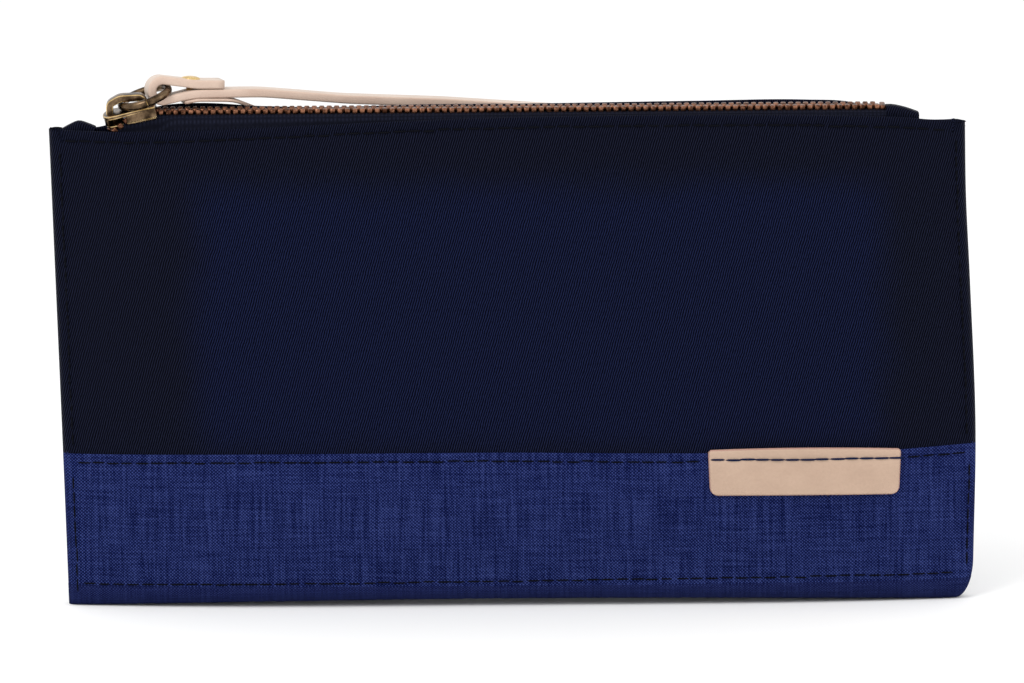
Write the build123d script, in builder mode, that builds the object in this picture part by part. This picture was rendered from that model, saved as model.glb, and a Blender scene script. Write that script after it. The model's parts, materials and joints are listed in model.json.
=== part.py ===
from build123d import *
import os
from math import cos, pi, radians, sin, tan

os.makedirs("parts", exist_ok=True)

# ---------------------------------------------------------------------------
# Wristlet wallet, mm. X runs along the zip, the front faces -Y, Z is up.
# The pouch stands on its bottom strip, and the origin is under its middle.
# ---------------------------------------------------------------------------
FRONT = -1
BACK = 1

# Pouch outline, seen from the front
top_left = -107.2
bottom_left = -102.6
top_right = 105.4
belly_right = 1.6            # how far the right edge bows out between its ends
bottom_right = 104.6
pouch_height = 113.4

# Half depths of the pouch
seam_depth = 2.5
belly_depth = 9.6
mouth_depth = 5.6
belly_height = 38.0

# Heights of the pieces that make the walls
strip_height = 5.8
band_low = 6.0
band_high = 35.3
panel_low = 35.6
front_fold = 113.4
back_fold = 115.6
fold_dip = 2.6               # the folded edges sink round the parked slider
lining_high = 107.4

# Thicknesses
panel_thick = 1.0
band_thick = 1.2
strip_thick = 1.4
lining_thick = 0.5
pocket_thick = 0.5
tape_thick = 0.4
label_thick = 1.4

# Zip chain
chain_height = 115.6
chain_tilt = 9.0             # the back row stands higher than the front row
tooth_pitch = 1.72
tooth_height = 1.2
tooth_head = 0.78
tooth_body = 1.0
tooth_tip = 0.35             # how far a head reaches past the middle line
tooth_root = 1.85
chain_right = 84.6
bend_x = -82.0               # left of here the chain slopes down
slider_pitch = 12.0
dive_x = -93.9               # left of here it dives into the pouch
dive_angle = 40.0
chain_left = -97.0
part_start = -86.6           # the two rows part between these two places
part_end = -90.4
part_gap = 1.35

# Slider
slider_x = -88.1
slider_length = 11.0
nose_half = 3.8
tail_half = 2.9
plate_thick = 0.75
chain_gap = 1.5
flange_height = 0.3
flange_thick = 0.55
crown_height = 4.1
crown_thick = 0.9
crown_width = 2.2

# Ring
ring_radius = 5.65
ring_wire = 0.85
ring_rise = 19.5
swing_yaw = 14.0             # the ring and the strap point a little backwards

# Wrist strap
strap_thick = 2.0
strap_width = 8.0
strap_waist = 5.6
fold_radius = 2.75           # leaves the ring's curved wire room to swing
flap_slope = 8.3
flap_end = 12.7
lead_slope = 14.5
skived_thick = 0.8

# Rivet
rivet_place = 5.8
rivet_cap_radius = 2.4
rivet_post_radius = 0.9

# Label
label_left = 45.9
label_length = 44.6
label_low = 25.2
label_height = 11.0


# ---------------------------------------------------------------------------
# The pouch's shape
# ---------------------------------------------------------------------------
def ease(t):
    t = max(0.0, min(1.0, t))
    return t * t * (3 - 2 * t)


def edges_at(z):
    """The left and right ends of the pouch at height z."""
    share = z / pouch_height
    left = bottom_left + (top_left - bottom_left) * share
    right = bottom_right + (top_right - bottom_right) * share
    return left, right + belly_right * sin(pi * min(1.0, max(0.0, share)))


def middle_depth(z):
    """Half depth of the pouch at its middle."""
    if z < belly_height:
        share = 1 - 0.35 * ((belly_height - z) / belly_height) ** 2
    else:
        share = 0.5 + 0.5 * cos(pi * min(1.0, (z - belly_height) / (pouch_height - belly_height)))
    return mouth_depth + (belly_depth - mouth_depth) * share


def depth_at(x, z):
    """Half depth of the outer skin at any place: full in the middle, thin at the side seams."""
    left, right = edges_at(z)
    across = min(1.0, abs(2 * (x - left) / (right - left) - 1))
    power = 4 + 6 * ease((z - 50) / 50)
    return seam_depth + (middle_depth(z) - seam_depth) * (1 - across ** power)


def fold_at(x, height):
    """Height of a folded top edge, which dips at the left where the slider is parked."""
    return height - fold_dip * ease((bend_x + 2 - x) / 12)


def wall_face(side, inset, low, high, reach=1.0, rows=9, columns=25):
    """A face at a constant inset from the outer skin, between two heights."""
    grid = []
    for row in range(rows):
        line = []
        for column in range(columns):
            across = reach * (2 * column / (columns - 1) - 1)
            left, right = edges_at(low)
            top = high(0.5 * (left + right) + across * 0.5 * (right - left))
            z = low + (top - low) * row / (rows - 1)
            left, right = edges_at(z)
            x = 0.5 * (left + right) + across * 0.5 * (right - left)
            line.append(Vector(x, side * (depth_at(x, z) - inset), z))
        grid.append(line)
    return Face.make_surface_from_array_of_points(grid, tol=0.01)


def level(height):
    return lambda x: height


# ---------------------------------------------------------------------------
# The zip chain's line
# ---------------------------------------------------------------------------
def chain_z(x):
    drop = tan(radians(slider_pitch)) * max(0.0, bend_x - x)
    dive = (tan(radians(dive_angle)) - tan(radians(slider_pitch))) * max(0.0, dive_x - x)
    return chain_height - drop - dive


def chain_slope(x):
    if x < dive_x:
        return dive_angle
    return slider_pitch if x < bend_x else 0.0


def chain_plane(x):
    """The chain's own plane at x: local x along the chain, local y towards the back."""
    slope = radians(chain_slope(x))
    tilt = radians(chain_tilt)
    along = (cos(slope), 0, sin(slope))
    normal = (-sin(slope) * cos(tilt), -cos(slope) * sin(tilt), cos(slope) * cos(tilt))
    return Plane(origin=(x, 0, chain_z(x)), x_dir=along, z_dir=normal)


def row_shift(x):
    """How far each row has moved away from the middle line."""
    return part_gap * ease((part_start - x) / (part_start - part_end))


def tooth_places(side):
    """Locations of one row's teeth, from the right end to the left end."""
    places = []
    x = chain_right - (0 if side == FRONT else tooth_pitch / 2)
    while x > chain_left:
        places.append(chain_plane(x).location * Pos(0, side * row_shift(x), 0))
        x -= tooth_pitch * cos(radians(chain_slope(x)))
    return places


def save(piece, name):
    piece.part.label = name
    export_step(piece.part, f"parts/{name}.step")


# ---------------------------------------------------------------------------
# Bottom strip: the fabric trough that closes the pouch underneath
# ---------------------------------------------------------------------------
def strip_outline(inset):
    """Points of the trough's plan, from the left end to the right end, on the front side."""
    left, right = edges_at(0)
    stations = [0.0, 0.02, 0.08, 0.25, 0.5, 0.75, 0.92, 0.98, 1.0]
    xs = [left + inset + (right - left - 2 * inset) * share for share in stations]
    return [(x, FRONT * (depth_at(x, strip_height) - inset)) for x in xs]


def strip_plan(inset):
    front = strip_outline(inset)
    back = [(x, -y) for x, y in reversed(front)]
    with BuildLine() as edge:
        Spline(*front)
        Line(front[-1], back[0])
        Spline(*back)
        Line(back[-1], front[0])
    return edge.line


with BuildPart() as bottom_strip:
    with BuildSketch(Plane.XY):
        add(strip_plan(0))
        make_face()
    extrude(amount=strip_height)
    fillet(bottom_strip.faces().sort_by(Axis.Z)[0].edges(), radius=2.0)
    with BuildSketch(Plane.XY.offset(strip_thick)):
        add(strip_plan(strip_thick))
        make_face()
    extrude(amount=strip_height, mode=Mode.SUBTRACT)
save(bottom_strip, "bottom_strip")

# ---------------------------------------------------------------------------
# Outer walls, linings and the inner pocket
# ---------------------------------------------------------------------------
for side, side_name, fold in ((FRONT, "front", front_fold), (BACK, "back", back_fold)):
    with BuildPart() as upper_panel:
        face = wall_face(side, panel_thick / 2, panel_low, lambda x: fold_at(x, fold))
        thicken(face, amount=panel_thick / 2, both=True)
    save(upper_panel, f"{side_name}_upper_panel")

    with BuildPart() as lower_band:
        face = wall_face(side, band_thick / 2, band_low, level(band_high))
        thicken(face, amount=band_thick / 2, both=True)
    save(lower_band, f"{side_name}_lower_band")

    with BuildPart() as lining:
        lining_inset = panel_thick + tape_thick + 0.2 + lining_thick / 2
        face = wall_face(side, lining_inset, band_low, level(lining_high), reach=0.985)
        thicken(face, amount=lining_thick / 2, both=True)
    save(lining, f"{side_name}_lining")

with BuildPart() as slip_pocket:
    pocket_inset = lining_inset + lining_thick / 2 + 0.25 + pocket_thick / 2
    face = wall_face(BACK, pocket_inset, 14.0, level(82.0), reach=0.72)
    thicken(face, amount=pocket_thick / 2, both=True)
save(slip_pocket, "slip_pocket")

# ---------------------------------------------------------------------------
# Zip tapes: from the chain outwards, then down inside the folded edge
# ---------------------------------------------------------------------------
tape_left = -80.0
tape_right = 84.8
tape_edge = 1.0
tape_turn = 3.4
tape_wall = mouth_depth - panel_thick - tape_thick / 2 - 0.38
tape_skirt = 4.0

for side, side_name, fold in ((FRONT, "front", front_fold), (BACK, "back", back_fold)):
    lean = side * tan(radians(chain_tilt))
    with BuildPart() as zip_tape:
        with BuildSketch(Plane.YZ.offset(tape_left)):
            with BuildLine() as section:
                Polyline((side * tape_edge, chain_height + lean * tape_edge),
                         (side * tape_turn, chain_height + lean * tape_turn),
                         (side * tape_wall, fold - 1.0),
                         (side * tape_wall, fold - tape_skirt))
            trace(section.line, line_width=tape_thick)
        extrude(amount=tape_right - tape_left)
    save(zip_tape, f"zip_tape_{side_name}")

# ---------------------------------------------------------------------------
# Zip teeth and stops
# ---------------------------------------------------------------------------
for side, side_name in ((FRONT, "front"), (BACK, "back")):
    with BuildPart() as tooth:
        with BuildSketch():
            with Locations((0, side * (0.45 + tooth_root) / 2)):
                Rectangle(tooth_body, tooth_root - 0.45)
            with Locations((0, side * (0.5 - tooth_tip) / 2)):
                Rectangle(tooth_head, 0.5 + tooth_tip)
        extrude(amount=tooth_height / 2, both=True)
        chamfer(tooth.faces().sort_by(Axis.Z)[-1].edges(), length=0.14)
    with BuildPart() as zip_teeth:
        with Locations(*tooth_places(side)):
            add(tooth.part)
    save(zip_teeth, f"zip_teeth_{side_name}")

    stop_x = chain_left - 0.9
    with BuildPart() as top_stop:
        with Locations(chain_plane(stop_x).location * Pos(0, side * (row_shift(stop_x) + 1.0), 0)):
            Box(1.2, 1.7, 1.5)
        fillet(top_stop.edges().filter_by(GeomType.LINE), radius=0.3)
    save(top_stop, f"zip_top_stop_{side_name}")

with BuildPart() as bottom_stop:
    with Locations(chain_plane(chain_right + 1.5).location):
        Box(1.3, 1.8, 1.6)
    fillet(bottom_stop.edges(), radius=0.3)
save(bottom_stop, "zip_bottom_stop")

# ---------------------------------------------------------------------------
# Fabric tabs that close the two ends of the zip
# ---------------------------------------------------------------------------
with BuildPart() as right_tab:
    with BuildSketch(Plane.XZ):
        with BuildLine():
            Polyline((86.9, 112.4), (86.9, 115.2), (91.6, 114.7), (94.2, 113.4), (94.2, 111.8), close=True)
        make_face()
    extrude(amount=3.0, both=True)
    fillet(right_tab.edges().filter_by(Axis.Y).group_by(Axis.Z)[-1], radius=0.4)
save(right_tab, "zip_end_tab_right")

with BuildPart() as left_tab:
    with BuildSketch(Plane.XZ):
        with BuildLine():
            Polyline((-104.0, 109.4), (-104.0, 110.6), (-100.4, 111.6), (-99.2, 110.6), (-99.2, 109.0),
                     close=True)
        make_face()
    extrude(amount=1.7, both=True)
save(left_tab, "zip_end_tab_left")

# ---------------------------------------------------------------------------
# Slider: two plates joined by a post, with flanges along their sides
# ---------------------------------------------------------------------------
slider_plane = chain_plane(slider_x)
half_length = slider_length / 2


def slider_outline(inset):
    """Plan of a slider plate: wide and round at the nose (left), narrow at the tail."""
    nose = nose_half - inset
    tail = tail_half - inset
    with BuildLine() as edge:
        Line((half_length, -tail), (half_length, tail))
        Line((half_length, tail), (0.5, tail + 0.1))
        Spline((0.5, tail + 0.1), (-1.8, nose), (-3.0, nose), tangents=[(-1, 0), (-1, 0)])
        ThreePointArc((-3.0, nose), (-half_length, 0), (-3.0, -nose))
        Spline((-3.0, -nose), (-1.8, -nose), (0.5, -tail - 0.1), tangents=[(1, 0), (1, 0)])
        Line((0.5, -tail - 0.1), (half_length, -tail))
    return edge.line


with BuildPart() as slider_body:
    for up in (1, -1):
        with BuildSketch(slider_plane.offset(up * chain_gap / 2)):
            add(slider_outline(0))
            make_face()
        extrude(amount=up * plate_thick)
        with BuildSketch(slider_plane.offset(up * chain_gap / 2)):
            add(slider_outline(0))
            make_face()
            with BuildSketch(mode=Mode.PRIVATE) as channel:
                add(slider_outline(flange_thick))
                make_face()
            add(channel.sketch, mode=Mode.SUBTRACT)
            with Locations((half_length, 0)):
                Rectangle(3.0, 2 * (tail_half - flange_thick), mode=Mode.SUBTRACT)
            with Locations((-half_length, 0)):
                Rectangle(5.0, 2 * nose_half, mode=Mode.SUBTRACT)
        extrude(amount=-up * flange_height)
    with BuildSketch(slider_plane.offset(-chain_gap / 2)):
        with Locations((-3.7, 0)):
            Ellipse(1.1, 0.75)
    extrude(amount=chain_gap)
save(slider_body, "slider_body")

# The crown is the bridge that the ring hangs in
crown_plane = Plane(origin=slider_plane.origin, x_dir=slider_plane.x_dir, z_dir=-slider_plane.y_dir)
plate_top = chain_gap / 2 + plate_thick
with BuildPart() as slider_crown:
    with BuildSketch(crown_plane):
        with BuildLine() as arch:
            FilletPolyline((-4.3, plate_top + 0.02), (-4.3, crown_height - 0.5), (-1.5, crown_height),
                           (2.4, crown_height), (3.9, plate_top + 0.02), radius=[1.0, 3.0, 1.0])
        trace(arch.line, line_width=crown_thick)
    extrude(amount=crown_width / 2, both=True)
    split(bisect_by=slider_plane.offset(plate_top), keep=Keep.TOP)
save(slider_crown, "slider_crown")

# ---------------------------------------------------------------------------
# Ring
# ---------------------------------------------------------------------------
yaw = radians(swing_yaw)
rise = radians(ring_rise)
heading = Vector(cos(yaw), sin(yaw), 0)
sideways = Vector(-sin(yaw), cos(yaw), 0)
ring_along = Vector(cos(rise) * cos(yaw), cos(rise) * sin(yaw), sin(rise))
ring_pivot = slider_plane.from_local_coords(Vector(-0.9, 0, plate_top + ring_wire + 0.25))
ring_centre = ring_pivot + ring_along * ring_radius
strap_pivot = ring_pivot + ring_along * (2 * ring_radius)
ring_plane = Plane(origin=ring_centre, x_dir=ring_along, z_dir=ring_along.cross(sideways))
with BuildPart() as split_ring:
    with Locations(ring_plane.location):
        Torus(ring_radius, ring_wire)
    with Locations(ring_plane.location * Rot(0, 0, -78) * Pos(ring_radius, 0, 0)):
        Box(2.2, 0.2, 2.2, mode=Mode.SUBTRACT)
save(split_ring, "split_ring")

# ---------------------------------------------------------------------------
# Wrist strap: a flap folded round the ring, a long loop, and a thinned end under the rivet.
# Its plane starts at the ring's far wire: local x along the strap, local y up.
# ---------------------------------------------------------------------------
strap_plane = Plane(origin=strap_pivot, x_dir=heading, z_dir=-sideways)
flap_angle = 90 - flap_slope
lead_angle = -90 + lead_slope
flap_tangent = (fold_radius * cos(radians(flap_angle)), fold_radius * sin(radians(flap_angle)))
lead_tangent = (fold_radius * cos(radians(lead_angle)), fold_radius * sin(radians(lead_angle)))
flap_drop = (flap_end - flap_tangent[0]) * tan(radians(flap_slope))
layer_step = (strap_thick + skived_thick) / 2 - 0.12
knee = (6.4, -1.18)
crest = (20.0, -1.38)
far_top = (151.0, -12.7)
far_low = (148.0, -40.0)
lower_start = (36.0, -4.9)

with BuildPart() as wrist_strap:
    with BuildSketch(strap_plane):
        with BuildLine() as loop_line:
            Line((flap_end, flap_tangent[1] - flap_drop), flap_tangent)
            CenterArc((0, 0), fold_radius, flap_angle, 360 + lead_angle - flap_angle)
            FilletPolyline(lead_tangent, knee, crest, far_top, far_low, lower_start,
                           radius=[14.0, 60.0, 11.0, 11.0])
        trace(loop_line.line, line_width=strap_thick)
    extrude(amount=strap_width / 2, both=True)
    with BuildSketch(strap_plane):
        with BuildLine() as end_line:
            FilletPolyline((3.6, knee[1] - layer_step - 0.72), (knee[0], knee[1] - layer_step),
                           (crest[0], crest[1] - layer_step), (lower_start[0] + 2, lower_start[1] - 0.3),
                           radius=[8.0, 30.0])
        trace(end_line.line, line_width=skived_thick)
    extrude(amount=strap_width / 2, both=True)
    with BuildSketch(Plane(origin=strap_pivot - Vector(0, 0, 60), x_dir=heading, z_dir=(0, 0, 1))):
        with BuildLine():
            Polyline((-6, -strap_waist / 2), (2.5, -strap_waist / 2), (6.5, -strap_width / 2),
                     (170, -strap_width / 2), (170, strap_width / 2), (6.5, strap_width / 2),
                     (2.5, strap_waist / 2), (-6, strap_waist / 2), close=True)
        make_face()
    extrude(amount=90, mode=Mode.INTERSECT)
    rivet_height = flap_tangent[1] - (rivet_place - flap_tangent[0]) * tan(radians(flap_slope))
    rivet_base = strap_plane.from_local_coords(Vector(rivet_place, rivet_height, 0))
    rivet_up = heading * sin(radians(flap_slope)) + Vector(0, 0, cos(radians(flap_slope)))
    rivet_plane = Plane(origin=rivet_base, x_dir=sideways, z_dir=rivet_up)
    with BuildSketch(rivet_plane.offset(strap_thick)):
        Circle(rivet_post_radius + 0.05)
    extrude(amount=-10, mode=Mode.SUBTRACT)
save(wrist_strap, "wrist_strap")

with BuildPart() as rivet_cap:
    with BuildSketch(rivet_plane.offset(strap_thick / 2 + 0.02)):
        Circle(rivet_cap_radius)
    extrude(amount=0.9)
    fillet(rivet_cap.edges().filter_by(GeomType.CIRCLE).sort_by(Axis.Z)[-1], radius=0.75)
save(rivet_cap, "rivet_cap")

post_length = 6.5
with BuildPart() as rivet_post:
    with BuildSketch(rivet_plane.offset(strap_thick / 2)):
        Circle(rivet_post_radius)
    extrude(amount=-post_length)
    with BuildSketch(rivet_plane.offset(strap_thick / 2 - post_length)):
        Circle(1.4)
    extrude(amount=0.3)
save(rivet_post, "rivet_post")

# ---------------------------------------------------------------------------
# Leather label sewn over the front band
# ---------------------------------------------------------------------------
def label_face():
    grid = []
    for row in range(6):
        z = label_low - 1 + (label_height + 2) * row / 5
        line = []
        for column in range(13):
            x = label_left - 1 + (label_length + 2) * column / 12
            line.append(Vector(x, -(depth_at(x, z) + label_thick / 2 + 0.05), z))
        grid.append(line)
    return Face.make_surface_from_array_of_points(grid, tol=0.01)


with BuildPart() as leather_label:
    thicken(label_face(), amount=label_thick / 2, both=True)
    with BuildSketch(Plane.XZ):
        with Locations((label_left + label_length / 2, label_low + label_height / 2)):
            RectangleRounded(label_length, label_height, radius=1.2)
    extrude(amount=20, mode=Mode.INTERSECT)
save(leather_label, "leather_label")
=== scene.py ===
import json
import math

import bpy
import numpy as np
from mathutils import Matrix, Vector

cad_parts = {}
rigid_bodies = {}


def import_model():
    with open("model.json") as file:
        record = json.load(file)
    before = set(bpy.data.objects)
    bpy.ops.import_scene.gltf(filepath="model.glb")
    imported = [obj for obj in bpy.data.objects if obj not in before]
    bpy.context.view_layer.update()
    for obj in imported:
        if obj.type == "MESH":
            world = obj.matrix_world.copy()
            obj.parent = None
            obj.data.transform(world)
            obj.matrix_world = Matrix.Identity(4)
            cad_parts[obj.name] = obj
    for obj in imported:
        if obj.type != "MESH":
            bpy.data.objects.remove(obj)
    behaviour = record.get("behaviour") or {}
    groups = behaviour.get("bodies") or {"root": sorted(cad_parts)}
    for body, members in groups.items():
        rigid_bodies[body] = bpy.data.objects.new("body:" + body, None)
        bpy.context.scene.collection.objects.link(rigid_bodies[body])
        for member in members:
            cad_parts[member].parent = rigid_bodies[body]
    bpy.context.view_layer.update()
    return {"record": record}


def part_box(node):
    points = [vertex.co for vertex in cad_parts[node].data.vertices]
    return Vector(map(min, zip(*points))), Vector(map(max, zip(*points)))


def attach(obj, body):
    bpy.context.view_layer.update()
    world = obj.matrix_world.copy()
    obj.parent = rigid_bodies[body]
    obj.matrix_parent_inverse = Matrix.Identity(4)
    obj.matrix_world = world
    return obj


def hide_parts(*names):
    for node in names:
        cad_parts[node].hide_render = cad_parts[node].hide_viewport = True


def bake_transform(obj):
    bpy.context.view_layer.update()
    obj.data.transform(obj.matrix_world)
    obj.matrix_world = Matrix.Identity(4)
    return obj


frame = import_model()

# ---------------------------------------------------------------------------
# Wristlet wallet. Shapes are worked out in millimetres and written in metres.
# X runs along the zip, the front faces -Y, Z is up.
# ---------------------------------------------------------------------------
MM = 0.001
FRONT = -1
BACK = 1

# Pouch outline and depths, as in the CAD
pouch_height = 113.4
seam_depth, belly_depth, mouth_depth, belly_height = 2.5, 9.6, 5.6, 38.0
corner_wide, corner_high = 4.0, 9.0                    # rounded corner at the bottom right
corner_start, corner_reach, corner_radius = 105.15, 1.15, 1.2    # small one at the top right
band_low, panel_low = 5.0, 33.0
underside_lift, foot_x = 1.2, 98.0
top_seam_drop, band_seam_drop = 2.4, 2.0               # stitches below the edge they hold
groove_depth, groove_width = 0.22, 0.9

# Zip chain
chain_height, chain_tilt, tooth_pitch = 115.6, math.radians(9.0), 1.72
bend_x, slider_slope = -82.0, math.tan(math.radians(12.0))     # left of here it slopes down with the slider
dive_x, dive_slope = -88.6, math.tan(math.radians(40.0))       # left of here it dives into the pouch
chain_left, chain_right = -93.6, 84.6
part_start, part_end, part_gap = -86.6, -90.4, 1.35            # the two rows part inside the slider
tape_drop, tape_thick = 0.75, 0.35

# Limits along x for the front's left and right halves
left_start, left_end = -98.0, -28.0
right_start, right_end = 70.0, 8.0

# Sewing
stitch_pitch, stitch_length, thread_radius = 3.45, 3.2, 0.18
rng = np.random.default_rng(7)

joints = {joint["name"]: joint for joint in frame["record"]["behaviour"]["joints"]}


# ---- Shape of the pouch ----
def ease(t):
    t = np.clip(t, 0.0, 1.0)
    return t * t * (3 - 2 * t)


def through(points, x):
    """A smooth curve through a few (x, height) points."""
    xs, ys = np.array(points, float).T
    place = np.clip(np.searchsorted(xs, x) - 1, 0, len(xs) - 2)
    share = np.clip((x - xs[place]) / (xs[place + 1] - xs[place]), 0.0, 1.0)
    slope = np.gradient(ys, xs)
    span = xs[place + 1] - xs[place]
    a, b = slope[place] * span, slope[place + 1] * span
    h = share * share * (3 - 2 * share)
    return (ys[place] * (1 - h) + ys[place + 1] * h
            + a * share * (1 - share) ** 2 - b * share * share * (1 - share))


def edges_at(z):
    """Where the left and right side seams stand at height z."""
    left = through([(0, -104.0), (37, -104.8), (75, -105.7), (112, -106.6)], z)
    right = through([(0, 107.2), (12, 107.4), (37, 107.8), (75, 106.3), (95, 105.3), (112, 105.0)], z)
    below = np.clip(1 - z / corner_high, 0.0, 1.0)
    return left, right - corner_wide * (1 - np.sqrt(1 - below ** 2))


def middle_depth(z):
    """Half depth of the pouch at its middle."""
    low = 1 - 0.35 * ((belly_height - z) / belly_height) ** 2
    high = 0.5 + 0.5 * np.cos(np.pi * np.clip((z - belly_height) / (pouch_height - belly_height), 0, 1))
    return mouth_depth + (belly_depth - mouth_depth) * np.where(z < belly_height, low, high)


def ripple(x, z):
    """Soft unevenness of the stuffed cloth."""
    broad = 0.30 * np.sin(x / 29 + z / 51 + 1.3) * np.sin(z / 33 + 0.4)
    fine = 0.12 * np.sin(x / 11.3 - z / 23) * np.sin(z / 17 + x / 61)
    return (broad + fine) * ease((z - 8) / 20) * ease((108 - z) / 16)


def depth_at(x, z):
    """Half depth of the pouch at any place: full in the middle, thin at the side seams."""
    left, right = edges_at(z)
    across = np.clip(np.abs(2 * (x - left) / (right - left) - 1), 0.0, 1.0)
    power = 4 + 6 * ease((z - 50) / 50)
    plump = seam_depth + (middle_depth(z) - seam_depth) * (1 - across ** power)
    closing = np.sqrt(1 - np.clip((across - 0.985) / 0.015, 0.0, 1.0) ** 2)
    return plump * closing + ripple(x, z) * (1 - across ** 6)


def top_corner(x):
    """How far the rounded corner at the right end falls below the top line."""
    past = np.clip(x - corner_start, 0.0, corner_reach)
    return corner_radius - np.sqrt(corner_radius ** 2 - past ** 2)


def front_fold(x):
    line = [(-107, 111.6), (-92, 111.1), (-72, 111.3), (-48, 112.2), (-9, 113.6), (21, 114.0),
            (60, 113.9), (80, 113.5), (94, 112.9), (99, 112.4), (106, 112.4)]
    return through(line, x) - top_corner(x)


def back_fold(x):
    line = [(-107, 111.1), (-99, 111.3), (-94, 111.7), (-90, 113.4), (-80, 116.3), (-73, 116.7),
            (-58, 115.9), (-42, 115.5), (-25, 115.9), (7, 116.0), (44, 116.3), (70, 116.4), (80, 115.9),
            (91, 112.9), (97, 111.5), (106, 111.1)]
    return through(line, x) - top_corner(x)


def band_top(x):
    return through([(-105, 36.0), (-3, 36.5), (45, 35.9), (88, 35.9), (105, 36.7)], x)


def hem_height(x):
    return through([(-105, 5.4), (-3, 6.2), (60, 6.5), (106, 6.5)], x)


def groove(z, line):
    """The cloth is drawn in a little along a row of stitches."""
    return groove_depth * np.exp(-((z - line) / groove_width) ** 2)


def chain_z(x):
    """Height of the zip's middle line."""
    drop = slider_slope * np.maximum(0.0, bend_x - x)
    return chain_height - drop - (dive_slope - slider_slope) * np.maximum(0.0, dive_x - x)


def row_shift(x):
    """How far each row of teeth stands out from the middle line."""
    return part_gap * ease((part_start - x) / (part_start - part_end))


# ---- Mesh helpers. A shape is (points in mm, faces, flat coordinates in mm, normals). ----
def columns_across(count):
    """Shares from the left seam (-1) through x = 0 to the right seam (1), closer together at the seams."""
    even = np.linspace(-1, 1, count)
    return np.sign(even) * (1 - (1 - np.abs(even)) ** 1.5)


def x_at(share, z):
    """The place across the pouch for a share from columns_across."""
    left, right = edges_at(z)
    return np.where(share < 0, -share * left, share * right)


def grid_normals(points):
    du = np.gradient(points, axis=1)
    dv = np.gradient(points, axis=0)
    normal = np.cross(du, dv)
    return normal / np.maximum(np.linalg.norm(normal, axis=2, keepdims=True), 1e-9)


def grid_faces(rows, columns, start=0):
    index = start + np.arange(rows * columns).reshape(rows, columns)
    return np.stack([index[:-1, :-1], index[:-1, 1:], index[1:, 1:], index[1:, :-1]], -1).reshape(-1, 4)


def cloth(points, flat, thickness, facing):
    """A sheet with thickness: its shown side is the one nearer the direction `facing`."""
    normal = grid_normals(points)
    middle = normal[points.shape[0] // 3, points.shape[1] // 2]
    turned = np.dot(middle, facing) < 0
    normal = -normal if turned else normal
    rows, columns = points.shape[:2]
    count = rows * columns
    outer = grid_faces(rows, columns)
    inner = grid_faces(rows, columns, count)
    outer = outer[:, ::-1] if turned else outer
    inner = inner if turned else inner[:, ::-1]
    index = np.arange(count).reshape(rows, columns)
    loop = np.concatenate([index[0, :], index[1:, -1], index[-1, -2::-1], index[-2:0:-1, 0]])
    after = np.roll(loop, -1)
    rim = np.stack([loop, loop + count, after + count, after], -1)
    rim = rim[:, ::-1] if turned else rim
    verts = np.concatenate([points.reshape(-1, 3), (points - normal * thickness).reshape(-1, 3)])
    normals = np.concatenate([normal.reshape(-1, 3), -normal.reshape(-1, 3)])
    flats = np.concatenate([flat.reshape(-1, 2)] * 2)
    return verts, np.concatenate([outer, inner, rim]).tolist(), flats, normals


def new_piece(name, shape, material):
    verts, faces, flats, normals = shape
    mesh = bpy.data.meshes.new(name)
    mesh.from_pydata((np.asarray(verts) * MM).tolist(), [], faces)
    loops = np.zeros(len(mesh.loops), np.int64)
    mesh.loops.foreach_get("vertex_index", loops)
    layer = mesh.uv_layers.new(name="UVMap")
    layer.data.foreach_set("uv", np.asarray(flats, np.float32)[loops].ravel())
    mesh.polygons.foreach_set("use_smooth", [True] * len(mesh.polygons))
    mesh.materials.append(material)
    if normals is not None:
        mesh.normals_split_custom_set_from_vertices(np.asarray(normals).tolist())
    piece = bpy.data.objects.new(name, mesh)
    bpy.context.scene.collection.objects.link(piece)
    return piece


def part_of(shape, keep):
    """The faces of a shape for which keep is true, with only their own points."""
    verts, faces, flats, normals = shape
    kept = [face for face, ok in zip(faces, keep) if ok]
    used = sorted({i for face in kept for i in face})
    place = {old: new for new, old in enumerate(used)}
    faces = [[place[i] for i in face] for face in kept]
    return verts[used], faces, flats[used], None if normals is None else normals[used]


def join(shapes):
    """Several shapes, none with normals of its own, as one."""
    verts, faces, flats, start = [], [], [], 0
    for points, shape_faces, flat, _ in shapes:
        verts.append(points)
        faces.extend([[i + start for i in face] for face in shape_faces])
        flats.append(flat)
        start += len(points)
    return np.concatenate(verts), faces, np.concatenate(flats), None


def tube_faces(rings, count):
    """The faces of a closed tube made of rings of `count` points each, its two ends last."""
    sides = [[ring * count + spoke, ring * count + (spoke + 1) % count,
              (ring + 1) * count + (spoke + 1) % count, (ring + 1) * count + spoke]
             for ring in range(rings - 1) for spoke in range(count)]
    return sides + [list(range(count))[::-1], [(rings - 1) * count + spoke for spoke in range(count)]]


def on_body(name, shape, material, body, nodes=()):
    piece = new_piece(name, shape, material)
    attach(piece, body)
    if nodes:
        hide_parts(*nodes)
    return piece


def on_front(name, shape, material, nodes=()):
    """A piece of the front, made as a left half and a right half split by their faces' places along x."""
    middles = np.array([np.mean(shape[0][face, 0]) for face in shape[1]])
    for half, keep, start, end in (("left", middles < 0, left_start, left_end),
                                   ("right", middles >= 0, right_start, right_end)):
        if not keep.any():
            continue
        piece = new_piece(f"{name}_{half}", part_of(shape, keep), material)
        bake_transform(piece)
        if nodes:
            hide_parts(*nodes)


def place(side, name, shape, material, slot, nodes=()):
    if side == FRONT:
        on_front(name, shape, material, nodes)
    else:
        on_body(name, shape, material, "pouch", nodes)


# ---- Materials ----
def shader(name, roughness, metallic=0.0, specular=0.5):
    material = bpy.data.materials.new(name)
    material.use_nodes = True
    tree = material.node_tree
    bsdf = tree.nodes["Principled BSDF"]
    bsdf.inputs["Roughness"].default_value = roughness
    bsdf.inputs["Metallic"].default_value = metallic
    bsdf.inputs["Specular IOR Level"].default_value = specular
    return material, tree, bsdf


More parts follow.
